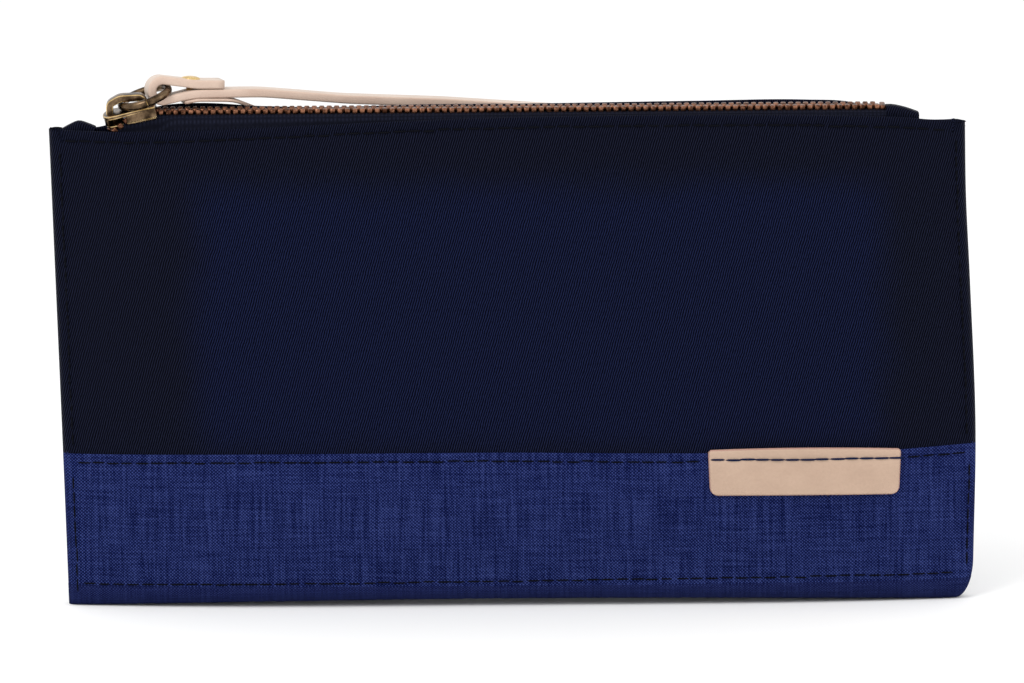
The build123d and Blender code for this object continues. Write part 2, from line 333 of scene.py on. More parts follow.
def add_node(tree, kind, **settings):
    made = tree.nodes.new("ShaderNode" + kind)
    for key, value in settings.items():
        setattr(made, key, value)
    return made


def feed(tree, target, value):
    if isinstance(value, bpy.types.NodeSocket):
        tree.links.new(value, target)
    else:
        target.default_value = value


def calc(tree, operation, a, b=0.0, c=0.0):
    made = add_node(tree, "Math", operation=operation)
    for socket, value in zip(made.inputs, (a, b, c)):
        feed(tree, socket, value)
    return made.outputs[0]


def flat_axes(tree):
    """The flat coordinates of a piece, in millimetres."""
    split = add_node(tree, "SeparateXYZ")
    tree.links.new(add_node(tree, "UVMap", uv_map="UVMap").outputs[0], split.inputs[0])
    return split.outputs[0], split.outputs[1]


def wave(tree, value, pitch):
    """0 to 1 and back once in every pitch."""
    turn = calc(tree, "MULTIPLY", value, 2 * math.pi / pitch)
    return calc(tree, "MULTIPLY_ADD", calc(tree, "SINE", turn), 0.5, 0.5)


def noise(tree, u, v, scale_u, scale_v, detail=3.0, seed=0.0):
    spot = add_node(tree, "CombineXYZ")
    feed(tree, spot.inputs[0], calc(tree, "MULTIPLY", u, scale_u))
    feed(tree, spot.inputs[1], calc(tree, "MULTIPLY", v, scale_v))
    spot.inputs[2].default_value = seed
    made = add_node(tree, "TexNoise")
    made.inputs["Scale"].default_value = 1.0
    made.inputs["Detail"].default_value = detail
    tree.links.new(spot.outputs[0], made.inputs["Vector"])
    return made.outputs[0]


def body_noise(tree, scale):
    """Noise over a piece's own place in space, for pieces with no flat coordinates."""
    made = add_node(tree, "TexNoise")
    made.inputs["Scale"].default_value = scale
    made.inputs["Detail"].default_value = 4.0
    tree.links.new(add_node(tree, "TexCoord").outputs["Object"], made.inputs["Vector"])
    return made.outputs[0]


def ramp(tree, value, stops):
    made = add_node(tree, "ValToRGB")
    while len(made.color_ramp.elements) < len(stops):
        made.color_ramp.elements.new(0.5)
    for element, (place_at, colour) in zip(made.color_ramp.elements, stops):
        element.position = place_at
        element.color = (*colour, 1.0)
    feed(tree, made.inputs[0], value)
    return made.outputs[0]


def surface(tree, bsdf, colour, rough, height, distance, strength):
    """Links a material's colour, roughness (a value, its share and what's added) and relief in metres."""
    tree.links.new(colour, bsdf.inputs["Base Color"])
    feed(tree, bsdf.inputs["Roughness"], calc(tree, "MULTIPLY_ADD", *rough))
    made = add_node(tree, "Bump")
    made.inputs["Strength"].default_value = strength
    made.inputs["Distance"].default_value = distance
    feed(tree, made.inputs["Height"], height)
    tree.links.new(made.outputs[0], bsdf.inputs["Normal"])


def mix_value(tree, a, b, share_b):
    return calc(tree, "ADD", calc(tree, "MULTIPLY", a, 1 - share_b), calc(tree, "MULTIPLY", b, share_b))


def twill(name, dark, light, sheen_tint=0.0):
    """Diagonal ribs. The last argument paints a sheen into the colour: it turns the belly of the panel a
    little bluer than its edges.
    """
    rib_pitch, yarn_pitch = 0.52, 0.9
    material, tree, bsdf = shader(name, 0.55, specular=0.02)
    u, v = flat_axes(tree)
    wobble = calc(tree, "MULTIPLY", noise(tree, u, v, 0.35, 0.35), 0.5)
    lean = math.radians(17)
    across = calc(tree, "SUBTRACT", calc(tree, "MULTIPLY", u, math.cos(lean)),
                  calc(tree, "MULTIPLY", v, math.sin(lean)))
    ribs = wave(tree, calc(tree, "ADD", across, wobble), rib_pitch)
    along = calc(tree, "ADD", calc(tree, "MULTIPLY", u, math.sin(lean)),
                 calc(tree, "MULTIPLY", v, math.cos(lean)))
    yarn = wave(tree, calc(tree, "MULTIPLY_ADD", across, 1.3, along), yarn_pitch)
    fibres = noise(tree, u, v, 2.2, 1.1, seed=3.0)
    height = mix_value(tree, mix_value(tree, ribs, yarn, 0.14), fibres, 0.3)
    colour = ramp(tree, height, [(0.40, dark), (0.80, light)])
    # painted sheen: the panel's belly is made bluer in its colour, standing in for light on the stuffed cloth
    if sheen_tint:
        colour = painted_sheen(tree, u, v, colour, sheen_tint)
    surface(tree, bsdf, colour, (ribs, -0.14, 0.60), height, 0.00022, 0.8)
    return material


def painted_sheen(tree, u, v, colour, amount):
    """Painted sheen: tints the middle of a panel blue, fading out over about a centimetre."""
    edge = calc(tree, "MULTIPLY_ADD", noise(tree, u, v, 0.05, 0.05), 10.0, -5.0)
    share = None
    for line, sign, limit in ((u, 1, -76.0), (u, -1, -89.0), (v, 1, 34.0), (v, -1, -101.0)):
        away = calc(tree, "ADD", calc(tree, "MULTIPLY_ADD", line, sign, -limit), edge)
        made = add_node(tree, "MapRange", interpolation_type="SMOOTHSTEP")
        feed(tree, made.inputs["Value"], away)
        made.inputs["From Min"].default_value = -3.0
        made.inputs["From Max"].default_value = 9.0
        share = made.outputs[0] if share is None else calc(tree, "MULTIPLY", share, made.outputs[0])
    mixer = add_node(tree, "Mix", data_type="RGBA", blend_type="MULTIPLY")
    feed(tree, mixer.inputs[0], calc(tree, "MULTIPLY", share, amount))
    tree.links.new(colour, mixer.inputs[6])
    mixer.inputs[7].default_value = (1.0, 1.2, 1.75, 1.0)
    return mixer.outputs[2]


def canvas(name, deep, mid, pale):
    """Plain weave with long uneven slubs both ways."""
    material, tree, bsdf = shader(name, 0.8, specular=0.02)
    u, v = flat_axes(tree)
    shift = calc(tree, "MULTIPLY", noise(tree, u, v, 0.25, 0.25), 0.6)
    warp = wave(tree, calc(tree, "ADD", u, shift), 0.78)
    weft = wave(tree, calc(tree, "ADD", v, shift), 0.72)
    weave = calc(tree, "ABSOLUTE", calc(tree, "SUBTRACT", warp, weft))
    upright = noise(tree, u, v, 1.5, 0.07, 4.0, 1.0)
    level = noise(tree, u, v, 0.09, 1.7, 4.0, 5.0)
    grain = noise(tree, u, v, 2.4, 1.6, 2.0, 9.0)
    streaks = mix_value(tree, mix_value(tree, upright, level, 0.42), grain, 0.3)
    tone = mix_value(tree, streaks, weave, 0.25)
    colour = ramp(tree, tone, [(0.33, deep), (0.46, mid), (0.63, pale)])
    relief = mix_value(tree, weave, streaks, 0.4)
    surface(tree, bsdf, colour, (weave, -0.12, 0.86), relief, 0.00030, 0.9)
    return material


def leather(name, shade, tone, pore=1.4):
    material, tree, bsdf = shader(name, 0.55, specular=0.4)
    u, v = flat_axes(tree)
    cloud = noise(tree, u, v, 0.11, 0.15, 4.0)
    pores = noise(tree, u, v, pore, pore, 5.0, 4.0)
    mottled = mix_value(tree, cloud, pores, 0.35)
    colour = ramp(tree, mottled, [(0.3, shade), (0.65, tone)])
    surface(tree, bsdf, colour, (pores, 0.25, 0.42), pores, 0.00012, 0.6)
    return material


def plain_cloth(name, dark, light, pitch=0.5):
    material, tree, bsdf = shader(name, 0.75, specular=0.03)
    u, v = flat_axes(tree)
    weave = calc(tree, "MULTIPLY", wave(tree, u, pitch), wave(tree, v, pitch))
    fibres = noise(tree, u, v, 1.3, 1.3)
    height = mix_value(tree, weave, fibres, 0.5)
    colour = ramp(tree, height, [(0.2, dark), (0.8, light)])
    surface(tree, bsdf, colour, (fibres, 0.2, 0.65), height, 0.00015, 0.6)
    return material


def metal(name, dull, bright, roughness, wear=900.0):
    material, tree, bsdf = shader(name, roughness, metallic=1.0)
    patina = body_noise(tree, wear)
    fine = body_noise(tree, wear * 6)
    colour = ramp(tree, patina, [(0.35, dull), (0.65, bright)])
    relief = mix_value(tree, patina, fine, 0.5)
    surface(tree, bsdf, colour, (fine, 0.22, roughness - 0.1), relief, 0.00004, 0.5)
    return material


def thread(name, dark, light):
    material, tree, bsdf = shader(name, 0.6, specular=0.04)
    u, v = flat_axes(tree)
    twist = wave(tree, calc(tree, "ADD", u, calc(tree, "MULTIPLY", v, 0.6)), 0.42)
    colour = ramp(tree, twist, [(0.2, dark), (0.8, light)])
    surface(tree, bsdf, colour, (twist, -0.15, 0.65), twist, 0.00008, 0.7)
    return material


# twill_navy carries the painted sheen: its last argument turns the panels' belly bluer
twill_navy = twill("twill_navy", (0.0002, 0.0003, 0.0018), (0.0100, 0.0122, 0.0290), 1.0)
tab_twill = twill("tab_twill", (0.0002, 0.0003, 0.0018), (0.0100, 0.0120, 0.0280))
canvas_blue = canvas("canvas_blue", (0.0008, 0.0022, 0.022), (0.0050, 0.0092, 0.0600), (0.040, 0.058, 0.195))
canvas_under = canvas("canvas_under", (0.0030, 0.0050, 0.032), (0.0078, 0.0115, 0.060), (0.022, 0.032, 0.112))
lining_cloth = plain_cloth("lining_cloth", (0.16, 0.145, 0.12), (0.26, 0.24, 0.20))
tape_cloth = plain_cloth("tape_cloth", (0.0035, 0.0040, 0.0085), (0.0100, 0.0115, 0.0230), 0.9)
strap_face = leather("strap_face", (0.52, 0.41, 0.34), (0.63, 0.52, 0.44))
strap_edge = leather("strap_edge", (0.48, 0.34, 0.27), (0.58, 0.44, 0.355), 2.4)
label_face = leather("label_face", (0.40, 0.275, 0.200), (0.465, 0.325, 0.240))
label_edge = leather("label_edge", (0.42, 0.23, 0.19), (0.49, 0.29, 0.235), 2.4)
dark_thread = thread("dark_thread", (0.0010, 0.0011, 0.0020), (0.0035, 0.0040, 0.0075))
navy_thread = thread("navy_thread", (0.0020, 0.0045, 0.0200), (0.0080, 0.0160, 0.0600))
teeth_metal = metal("teeth_metal", (0.055, 0.022, 0.012), (0.30, 0.135, 0.078), 0.36)
antique_brass = metal("antique_brass", (0.034, 0.021, 0.012), (0.185, 0.122, 0.070), 0.28, 500.0)
polished_brass = metal("polished_brass", (0.42, 0.27, 0.10), (0.72, 0.52, 0.26), 0.22, 500.0)
rivet_brass = metal("rivet_brass", (0.62, 0.42, 0.16), (0.82, 0.60, 0.28), 0.28)


# ---- Walls ----
def wall_point(side, x, z, lift=0.0):
    return np.stack([x, side * (depth_at(x, z) + lift), z + 0 * x], -1)


def wall_sheet(side, low, top, seam_line, lift, curl, tuck, thickness, across=131, up=46):
    """A wall from height `low` up to the curve `top`, with its top edge folded inwards and tucked down."""
    share = columns_across(across)
    rises = np.concatenate([np.linspace(0, 0.88, up)[:-1], np.linspace(0.88, 1, 22)])
    steps = [("rise", step) for step in rises]
    steps += [("curl", turn) for turn in np.linspace(0, math.pi, 9)[1:]]
    steps += [("tuck", 0.5), ("tuck", 1.0)]
    rows, flats = [], []
    room = np.minimum(1.0, (1 - np.abs(share)) / 0.02)
    crest = top(x_at(share, 0.5 * (low + pouch_height))) - curl * room
    for kind, value in steps:
        if kind == "rise":
            z, inset, inwards, run = low + (crest - low) * value, 0.0, 0.0, 0.0
        elif kind == "curl":
            z, inset = crest + curl * math.sin(value) * room, curl * (1 - math.cos(value))
            inwards, run = value / math.pi, curl * value
        else:
            z, inset = crest - tuck * value * room, 2 * curl
            inwards, run = 1.0, curl * math.pi + tuck * value
        x = x_at(share * (1 - 0.02 * inwards), np.minimum(z, crest))
        y = depth_at(x, z) + (lift - inset - groove(z, seam_line(x))) * room
        rows.append(np.stack([x, side * y, z], -1))
        flats.append(np.stack([x, z if kind == "rise" else crest + run], -1))
    return cloth(np.array(rows), np.array(flats), thickness, (0, side, 0))


def top_line(fold):
    return lambda x: fold(x) - top_seam_drop


def band_line(x):
    return band_top(x) - band_seam_drop


walls = ((FRONT, "front", front_fold), (BACK, "back", back_fold))
for side, side_name, fold in walls:
    panel = wall_sheet(side, panel_low, fold, top_line(fold), lift=0.0, curl=0.55, tuck=7.0, thickness=0.5)
    place(side, f"{side_name}_panel", panel, twill_navy, "twill", [f"{side_name}_upper_panel"])
    band = wall_sheet(side, band_low, band_top, band_line, lift=0.45, curl=0.28, tuck=2.5, thickness=0.4,
                      up=26)
    place(side, f"{side_name}_band", band, canvas_blue, "canvas", [f"{side_name}_lower_band"])


def lining_sheet(side, low, high, inset, reach):
    """A sheet inside a wall, cut lower at its two ends where the pouch closes."""
    share = columns_across(81) * reach
    rows, flats = [], []
    edge = high - 14 * ease((np.abs(share) - 0.86) / 0.04)
    for part in np.linspace(0, 1, 24):
        z = low + (edge - low) * part
        x = x_at(share, z)
        rows.append(np.stack([x, side * np.maximum(depth_at(x, z) - inset, 0.25), z], -1))
        flats.append(np.stack([x, z], -1))
    return cloth(np.array(rows), np.array(flats), 0.35, (0, -side, 0))


for (side, side_name, _), high in zip(walls, (109.4, 110.4)):
    lining = lining_sheet(side, low=6.0, high=high, inset=1.75, reach=0.98)
    place(side, f"{side_name}_lining_cloth", lining, lining_cloth, "lining", [f"{side_name}_lining"])
pocket = lining_sheet(BACK, low=14.0, high=82.0, inset=2.75, reach=0.72)
on_body("slip_pocket_cloth", pocket, lining_cloth, "pouch", ["slip_pocket"])


# ---- Bottom strip: the canvas rolls under the pouch from the front hem to the back hem ----
def rest_height(x):
    """The underside lifts a little in the middle, so the pouch stands on its two ends."""
    return underside_lift * (1 - np.clip(np.abs(x) / foot_x, 0, 1) ** 2)


def strip_sheet():
    share = columns_across(121)
    strip_width, thickness = 22, 0.6
    half_deep = depth_at(x_at(share, band_low), band_low) + 0.4
    rows, flats = [], []
    for turn in np.linspace(0, math.pi, 29):
        drop = math.sin(turn) ** 0.75
        x = x_at(share, band_low * (1 - drop))
        z = band_low - (band_low - rest_height(x)) * drop
        y = -half_deep * math.copysign(abs(math.cos(turn)) ** 0.5, math.cos(turn))
        rows.append(np.stack([x, y, z], -1))
        flats.append(np.stack([x, turn / math.pi * strip_width + 0 * x], -1))
    return cloth(np.array(rows), np.array(flats), thickness, (0, -1, 0))


on_body("bottom_strip_cloth", strip_sheet(), canvas_under, "pouch", ["bottom_strip"])


# ---- Sewing: every stitch is a short raised length of thread ----
def stitch_shape(start, end, out, radius):
    """A length of thread, arched in the middle and narrow at its ends where it enters the cloth."""
    along = end - start
    length = np.linalg.norm(along)
    along = along / length
    side_way = np.cross(out, along)
    rings, round_count, long_count = [], 8, 7
    angles = np.arange(round_count) * 2 * math.pi / round_count
    around = np.cos(angles)[:, None] * side_way + 0.8 * np.sin(angles)[:, None] * out
    for step in np.linspace(-1, 1, long_count):
        swell = max(0.0, 1 - step ** 4) ** 0.5
        centre = start + along * length * (step + 1) / 2 + out * radius * (0.75 * (1 - step ** 2) - 0.2)
        size = radius * (0.12 + 0.88 * swell)
        rings.append(centre + size * around)
    points = np.array(rings).reshape(-1, 3)
    turned = np.tile(np.arange(round_count) / round_count * 1.6, long_count)
    flat = np.stack([np.repeat(np.linspace(0, length, long_count), round_count), turned], -1)
    return points, tube_faces(long_count, round_count), flat, None


def seam(path, outs, pitch=stitch_pitch, length=stitch_length, radius=thread_radius):
    """Stitches one after another along a path of close points."""
    steps = np.linalg.norm(np.diff(path, axis=0), axis=1)
    run = np.concatenate([[0], np.cumsum(steps)])
    shapes = []
    at = 0.4 * pitch
    while at + length < run[-1]:
        near, far = at, at + length * (1 + 0.06 * rng.standard_normal())
        ends = [np.array([np.interp(s, run, path[:, k]) for k in range(3)]) for s in (near, far)]
        out = np.array([np.interp(0.5 * (near + far), run, outs[:, k]) for k in range(3)])
        sway = 0.07 * rng.standard_normal(3)
        shapes.append(stitch_shape(ends[0] + sway, ends[1] + sway, out / np.linalg.norm(out), radius))
        at += pitch
    return join(shapes)


def wall_outs(side, x, z):
    """The direction straight out of a wall at each place."""
    step = 0.5
    slope_x = (depth_at(x + step, z) - depth_at(x - step, z)) / (2 * step)
    slope_z = (depth_at(x, z + step) - depth_at(x, z - step)) / (2 * step)
    out = np.stack([-slope_x, side * np.ones_like(x), -slope_z], -1)
    return out / np.linalg.norm(out, axis=1, keepdims=True)


def level_seam(side, height, lift, x_from, x_to, **sizes):
    x = np.linspace(x_from, x_to, 260)
    z = height(x)
    return seam(wall_point(side, x, z, lift), wall_outs(side, x, z), **sizes)


def side_seam(side, edge, inset, z_from, z_to, lift):
    """Stitches up a wall beside its left edge (0) or its right edge (1)."""
    z = np.linspace(z_from, z_to, 160)
    x = edges_at(z)[edge] + inset
    return seam(wall_point(side, x, z, lift), wall_outs(side, x, z))


for side, side_name, fold in walls:
    top_seam = level_seam(side, top_line(fold), lift=-0.12, x_from=-104.2, x_to=102.6, radius=0.22)
    place(side, f"{side_name}_top_stitching", top_seam, dark_thread, "twill")
    # the front's band seam stops at the label and goes on after it
    runs = [(-102.5, 44.8), (90.2, 105.3)] if side == FRONT else [(-102.5, 105.3)]
    band_seam = join([level_seam(side, band_line, 0.32, x_from, x_to) for x_from, x_to in runs])
    place(side, f"{side_name}_band_stitching", band_seam, dark_thread, "canvas")
    hem_seam = level_seam(side, hem_height, lift=0.5, x_from=-101.6, x_to=105.0)
    place(side, f"{side_name}_hem_stitching", hem_seam, dark_thread, "canvas")
    side_seams = join([side_seam(side, 0, inset=2.5, z_from=2.0, z_to=33.6, lift=0.5),
                       side_seam(side, 1, inset=-1.8, z_from=6.8, z_to=34.6, lift=0.5),
                       side_seam(side, 0, inset=2.7, z_from=36.6, z_to=109.2, lift=0.05),
                       side_seam(side, 1, inset=-2.4, z_from=37.6, z_to=109.4, lift=0.05)])
    place(side, f"{side_name}_side_stitching", side_seams, dark_thread, "twill")


# ---- Leather label ----
label_low, label_high = 26.0, 36.7
label_left, label_right = 45.3, 89.7
label_thick = 1.25


def label_line(x):
    return label_high - 2.2 - 0.35 * (x - label_left) / (label_right - label_left)


def round_corners(a, b, half_a, half_b, radius):
    """Moves the points of a rectangle's grid so that its corners are round."""
    over_a = np.clip((np.abs(a) - (half_a - radius)) / radius, 0, 1)
    over_b = np.clip((np.abs(b) - (half_b - radius)) / radius, 0, 1)
    new_a = np.minimum(np.abs(a), half_a - radius) + radius * over_a * np.sqrt(1 - over_b ** 2 / 2)
    new_b = np.minimum(np.abs(b), half_b - radius) + radius * over_b * np.sqrt(1 - over_a ** 2 / 2)
    return np.sign(a) * new_a, np.sign(b) * new_b


def edge_line(half, count):
    """Places from -half to half, closer together near the two ends."""
    fine = np.concatenate([np.linspace(0, 0.9, 6)[:-1], np.linspace(0.9, 1.8, 4)[:-1]])
    return np.concatenate([-half + fine, np.linspace(-half + 1.8, half - 1.8, count), half - fine[::-1]])


def label_shape():
    half_a, half_b = (label_right - label_left) / 2, (label_high - label_low) / 2
    a, b = np.meshgrid(edge_line(half_a, 70), edge_line(half_b, 22))
    inset = np.minimum(half_a - np.abs(a), half_b - np.abs(b))
    a, b = round_corners(a, b, half_a, half_b, np.where(b < 0, 2.0, 0.9))
    x = 0.5 * (label_left + label_right) + a * (1 + 0.010 * b / half_b)
    z = 0.5 * (label_low + label_high) + b + 0.45 * (1 - (a / half_a) ** 2) * ease(b / half_b)
    z = z - 0.22 * (1 + a / half_a)
    edge = np.clip(inset / 0.45, 0, 1)
    stitched = 0.22 * np.exp(-((z - label_line(x)) / 0.8) ** 2)
    lift = 0.35 + label_thick * (0.45 + 0.55 * np.sqrt(1 - (1 - edge) ** 2)) - stitched
    points = np.stack([x, -(depth_at(x, z) + lift), z], -1)
    shape = cloth(points, np.stack([x, z], -1), label_thick * 0.5, (0, -1, 0))
    back = points.reshape(-1, 3).copy()
    back[:, 1] = -(depth_at(x, z) + 0.42).ravel()
    shape[0][len(back):] = back
    return shape


on_front("label", label_shape(), label_face, ["leather_label"])
for piece in [o for o in bpy.data.objects if o.name.startswith("label_")]:
    piece.data.materials.append(label_edge)
    for polygon in piece.data.polygons:
        polygon.material_index = int(polygon.normal[1] > -0.75)
label_seam = level_seam(FRONT, label_line, label_thick + 0.24, label_left - 1.2, label_right + 1.4,
                        length=3.9, radius=0.24)
on_front("label_stitching", label_seam, navy_thread)


# ---- Zip tapes ----
def tape_sheet(side, fold):
    """From under the teeth outwards, then down inside the fold. Under the slider it drops away sooner."""
    x = np.linspace(-96.5, 86.6, 185)
    x[np.argmin(np.abs(x))] = 0.0
    sag = ease((x + 97) / 3) * ease((-77 - x) / 5)
    wall = depth_at(x, fold(x)) - 1.35
    near = 0.9 + row_shift(x)
    turn = np.minimum(np.maximum(3.1 - 1.0 * sag, near + 0.5), wall - 0.1)
    tilt = math.tan(chain_tilt)
    rows, flats = [], []
    for part in np.linspace(0, 1, 7):
        y = near + (turn - near) * part
        rows.append(np.stack([x, side * y, chain_z(x) + side * tilt * y - tape_drop], -1))
        flats.append(np.stack([x, y], -1))
    for angle in np.linspace(0, math.pi / 2, 10)[1:]:
        outwards = (1 - sag) * math.sin(angle) + sag * (1 - math.cos(angle))
        down = (1 - sag) * (1 - math.cos(angle)) + sag * math.sin(angle)
        z = chain_z(x) + side * tilt * turn - tape_drop
        low = np.minimum(fold(x) - 2.6, z - 0.5)
        rows.append(np.stack([x, side * (turn + (wall - turn) * outwards), z + (low - z) * down], -1))
        flats.append(np.stack([x, 3.4 + 2 * angle + 0 * x], -1))
    return cloth(np.array(rows), np.array(flats), tape_thick, (0, 0.2 * side, 1))


for side, side_name, fold in walls:
    tape = tape_sheet(side, fold)
    place(side, f"{side_name}_tape", tape, tape_cloth, "zip_tape", [f"zip_tape_{side_name}"])


# ---- Zip teeth: rounded metal blocks clamped on the tapes' edges ----
def rounded_block(size, centre, squareness, around=12, up=8):
    """A block with soft edges: the smaller its squareness, the squarer it is."""
    theta = np.linspace(-math.pi / 2, math.pi / 2, up)
    phi = np.arange(around) * 2 * math.pi / around + math.pi / around

    def power(value):
        return np.sign(value) * np.abs(value) ** squareness

    rings = []
    for t in theta[1:-1]:
        rings.append(np.stack([power(np.cos(t)) * power(np.cos(phi)), power(np.cos(t)) * power(np.sin(phi)),
                               power(np.sin(t)) + 0 * phi], -1))
    points = np.concatenate([[[0, 0, -1]], *rings, [[0, 0, 1]]])
    points = points * np.array(size) / 2 + np.array(centre)
    faces = []
    last = len(points) - 1
    for spoke in range(around):
        after = (spoke + 1) % around
        faces.append([0, 1 + after, 1 + spoke])
        for ring in range(len(rings) - 1):
            a, b = 1 + ring * around, 1 + (ring + 1) * around
            faces.append([a + spoke, a + after, b + after, b + spoke])
        top = 1 + (len(rings) - 1) * around
        faces.append([top + spoke, top + after, last])
    return points, faces


def chain_slope(x):
    return math.atan(dive_slope if x < dive_x else slider_slope if x < bend_x else 0.0)


def along_chain(blocks, places, side):
    """Copies of the blocks at each place along the zip, turned with its slope and tilt."""
    verts, faces, start = [], [], 0
    for x in places:
        middle = Matrix.Translation((x, 0, float(chain_z(x))))
        aside = Matrix.Translation((0, side * float(row_shift(x)), 0))
        turn = np.array(middle @ Matrix.Rotation(-chain_slope(x), 4, "Y")
                        @ Matrix.Rotation(chain_tilt, 4, "X") @ aside)
        for points, block_faces in blocks:
            verts.append(points @ turn[:3, :3].T + turn[:3, 3])
            faces.extend([[i + start for i in face] for face in block_faces])
            start += len(points)
    verts = np.concatenate(verts)
    return verts, faces, verts[:, :2].copy(), None


def tooth_row(side):
    head = rounded_block((0.90, 1.15, 1.10), (0, side * 0.2, -0.28), 0.5)
    body = rounded_block((1.24, 1.50, 1.32), (0, side * 1.18, -0.30), 0.36)
    places = [chain_right - (0 if side == FRONT else tooth_pitch / 2)]
    while places[-1] > chain_left:
        places.append(places[-1] - tooth_pitch * math.cos(chain_slope(places[-1])))
    return along_chain([head, body], places[:-1], side)


def top_stop(side):
    """The small crimped block past the last tooth of one row."""
    block = rounded_block((1.7, 1.8, 1.5), (0, side, -0.3), 0.45)
    return along_chain([block], [chain_left - 1.4], side)


for make, kind, node in ((tooth_row, "teeth", "zip_teeth"), (top_stop, "stop", "zip_top_stop")):
    for side, side_name, _ in walls:
        place(side, f"{side_name}_{kind}", make(side), teeth_metal, "teeth_metal", [f"{node}_{side_name}"])
end_block = rounded_block((1.3, 4.2, 1.2), (0, 0, -0.35), 0.4)
on_body("end_stop", along_chain([end_block], [chain_right + 1.3], BACK), teeth_metal, "pouch",
        ["zip_bottom_stop"])


# ---- Wrist strap: a flap folded round the ring, a long loop and a thinned end under the rivet ----
strap_pivot = np.array(joints["strap_swing"]["pos_m"]) / MM
strap_side = -np.array(joints["strap_swing"]["axis"])
strap_side = strap_side / np.linalg.norm(strap_side)
strap_along = np.cross(strap_side, (0, 0, 1))
fold_radius, strap_thick = 2.4, 1.95
fold_centre = np.array([-1.6, -0.3])


def rounded_route(points, radii, step=0.6):
    """Close points along straight runs, with each corner rounded."""
    points = [np.array(p, float) for p in points]
    route = [points[0]]
    for before, corner, after, radius in zip(points, points[1:], points[2:], radii):
        back, on = before - corner, after - corner
        back, on = back / np.linalg.norm(back), on / np.linalg.norm(on)
        half = 0.5 * math.acos(np.clip(np.dot(back, on), -1, 1))
        reach = radius / math.tan(half)
        centre = corner + (back + on) / np.linalg.norm(back + on) * radius / math.sin(half)
        first, last = corner + back * reach - centre, corner + on * reach - centre
        turn = math.pi - 2 * half
        count = max(4, int(radius * turn / step))
        sign = np.sign(first[0] * last[1] - first[1] * last[0])
        for part in np.linspace(0, 1, count):
            angle = sign * turn * part
            spun = (first[0] * math.cos(angle) - first[1] * math.sin(angle),
                    first[0] * math.sin(angle) + first[1] * math.cos(angle))
            route.append(centre + np.array(spun))
    route.append(points[-1])
    filled = [route[0]]
    for a, b in zip(route, route[1:]):
        count = max(1, int(np.linalg.norm(b - a) / 1.5))
        filled.extend([a + (b - a) * (k + 1) / count for k in range(count)])
    return filled


def strap_route():
    flap_angle, lead_angle = math.radians(90 - 6), math.radians(270 + 11.5)
    flap_start = fold_centre + fold_radius * np.array([math.cos(flap_angle), math.sin(flap_angle)])
    flap = rounded_route([(12.7, 0.80), (6.0, 1.0), flap_start], [16])
    turn = [fold_centre + fold_radius * np.array([math.cos(angle), math.sin(angle)])
            for angle in np.linspace(flap_angle, lead_angle, 36)]
    out_run = [(6.2, -1.18), (22, -1.45), (42, -3.6), (66, -5.1), (151, -12.9)]
    back_run = [(148, -40.0), (60, -21.0), (24, -6.6), (15, -2.9), (6.4, -2.6), (3.6, -3.2)]
    run = rounded_route([turn[-1]] + out_run + back_run, [14, 60, 90, 150, 11, 11, 60, 30, 12, 8])
    return np.array(flap + turn[1:] + run[1:])


def strap_shape():
    """The strap swept along its route, and for each face whether it's on the cut edge."""
    route = strap_route()
    steps = np.linalg.norm(np.diff(route, axis=0), axis=1)
    keep = np.concatenate([[True], steps > 0.05])
    route = route[keep]
    run = np.concatenate([[0], np.cumsum(np.linalg.norm(np.diff(route, axis=0), axis=1))])
    tangent = np.gradient(route, run, axis=0)
    tangent = tangent / np.linalg.norm(tangent, axis=1, keepdims=True)
    normal = np.stack([-tangent[:, 1], tangent[:, 0]], -1)
    thick = strap_thick - 1.15 * ease((run - (run[-1] - 34)) / 12)
    wide = 5.8 + 2.2 * ease((route[:, 0] - 2.5) / 4.0)
    returning = np.arange(len(route)) > np.argmax(route[:, 0])
    aside = returning * 3.2 * ease((route[:, 0] - 13) / 9) * ease((140 - route[:, 0]) / 50)
    rim = 0.42
    section = []
    for corner_a, corner_b, start in ((1, 1, 0), (-1, 1, 90), (-1, -1, 180), (1, -1, 270)):
        for angle in np.radians([start + 5, start + 30, start + 60, start + 85]):
            section.append((corner_a, corner_b, math.cos(angle), math.sin(angle)))
    points = []
    for at in range(len(route)):
        for corner_a, corner_b, round_a, round_b in section:
            a = corner_a * (wide[at] / 2 - rim) + rim * round_a
            b = corner_b * (thick[at] / 2 - rim) + rim * round_b
            flat = route[at] + normal[at] * b
            points.append(strap_pivot + strap_along * flat[0] + np.array([0, 0, 1]) * flat[1]
                          + strap_side * (a + aside[at]))
    count = len(section)
    edge = [spoke not in (3, 11) for at in range(len(route) - 1) for spoke in range(count)] + [True, True]
    around = np.array([(s[0] * 4 + s[2], s[1] + s[3]) for s in section])
    flats = np.stack([np.repeat(run, count), np.tile(around[:, 0] + 0.8 * around[:, 1], len(route))], -1)
    return (np.array(points), tube_faces(len(route), count), flats, None), edge


strap, strap_edges = strap_shape()
strap_piece = on_body("strap_leather", strap, strap_face, "strap", ["wrist_strap"])
strap_piece.data.materials.append(strap_edge)
strap_piece.data.polygons.foreach_set("material_index", [int(e) for e in strap_edges])
strap_piece.data.update()


def lathe(profile, centre, up, count=28):
    """A round piece about the direction up: profile is (radius, height) from the bottom to the top."""
    up = np.array(up) / np.linalg.norm(up)
    one = np.cross(up, (0, 1, 0))
    one = one / np.linalg.norm(one)
    two = np.cross(up, one)
    turns = np.arange(count) * 2 * math.pi / count
    spokes = np.cos(turns)[:, None] * one + np.sin(turns)[:, None] * two
    points = np.concatenate([centre + up * height + radius * spokes for radius, height in profile])
    return points, tube_faces(len(profile), count), points[:, :2].copy(), None


